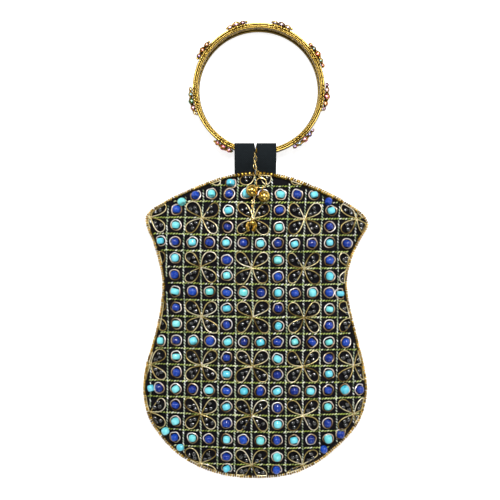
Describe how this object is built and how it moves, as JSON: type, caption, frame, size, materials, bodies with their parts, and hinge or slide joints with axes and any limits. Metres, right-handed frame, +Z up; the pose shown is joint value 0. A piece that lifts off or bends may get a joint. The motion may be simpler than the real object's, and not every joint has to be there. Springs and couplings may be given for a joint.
{
  "type": "beaded phone pouch with bangle handle",
  "caption": "Flat vase-shaped cloth pouch with a beaded front, two ribbon tabs, a jewelled bangle handle and a small chain with ball charms.",
  "frame": {"origin": "middle of the space the pouch takes on the surface it lies on, at floor level", "axes": "+Y from the pouch's base to the bangle, +Z up out of the beaded front, +X to the right as the front is seen"},
  "size_m": [0.1264, 0.2552, 0.0241],
  "materials": {
    "embroidery": "black cloth under metallic thread, wire and glass beads",
    "cloth": "matte",
    "gold_beads": "polished",
    "grosgrain": "ribbed satin",
    "antique_gold": "antiqued",
    "chain_brass": "polished",
    "bright_gold": "polished",
    "metallic_thread": "lime and silver metallic thread",
    "turquoise_glass": "opaque glass",
    "cobalt_glass": "opaque glass",
    "black_glass": "glossy",
    "crystal": "foiled cut glass in mixed colours"
  },
  "bodies": {
    "root": {"front_panel": "embroidery", "back_panel": "cloth", "bead_edging": "gold_beads", "ribbon_tab_left": "grosgrain", "ribbon_tab_right": "grosgrain", "bangle": "antique_gold", "drop_chain_upper": "chain_brass", "jump_ring": "chain_brass", "ball_charm_left": "bright_gold", "ball_charm_right": "bright_gold", "drop_chain_lower": "chain_brass", "end_charm": "bright_gold"}
  },
  "joints": []
}
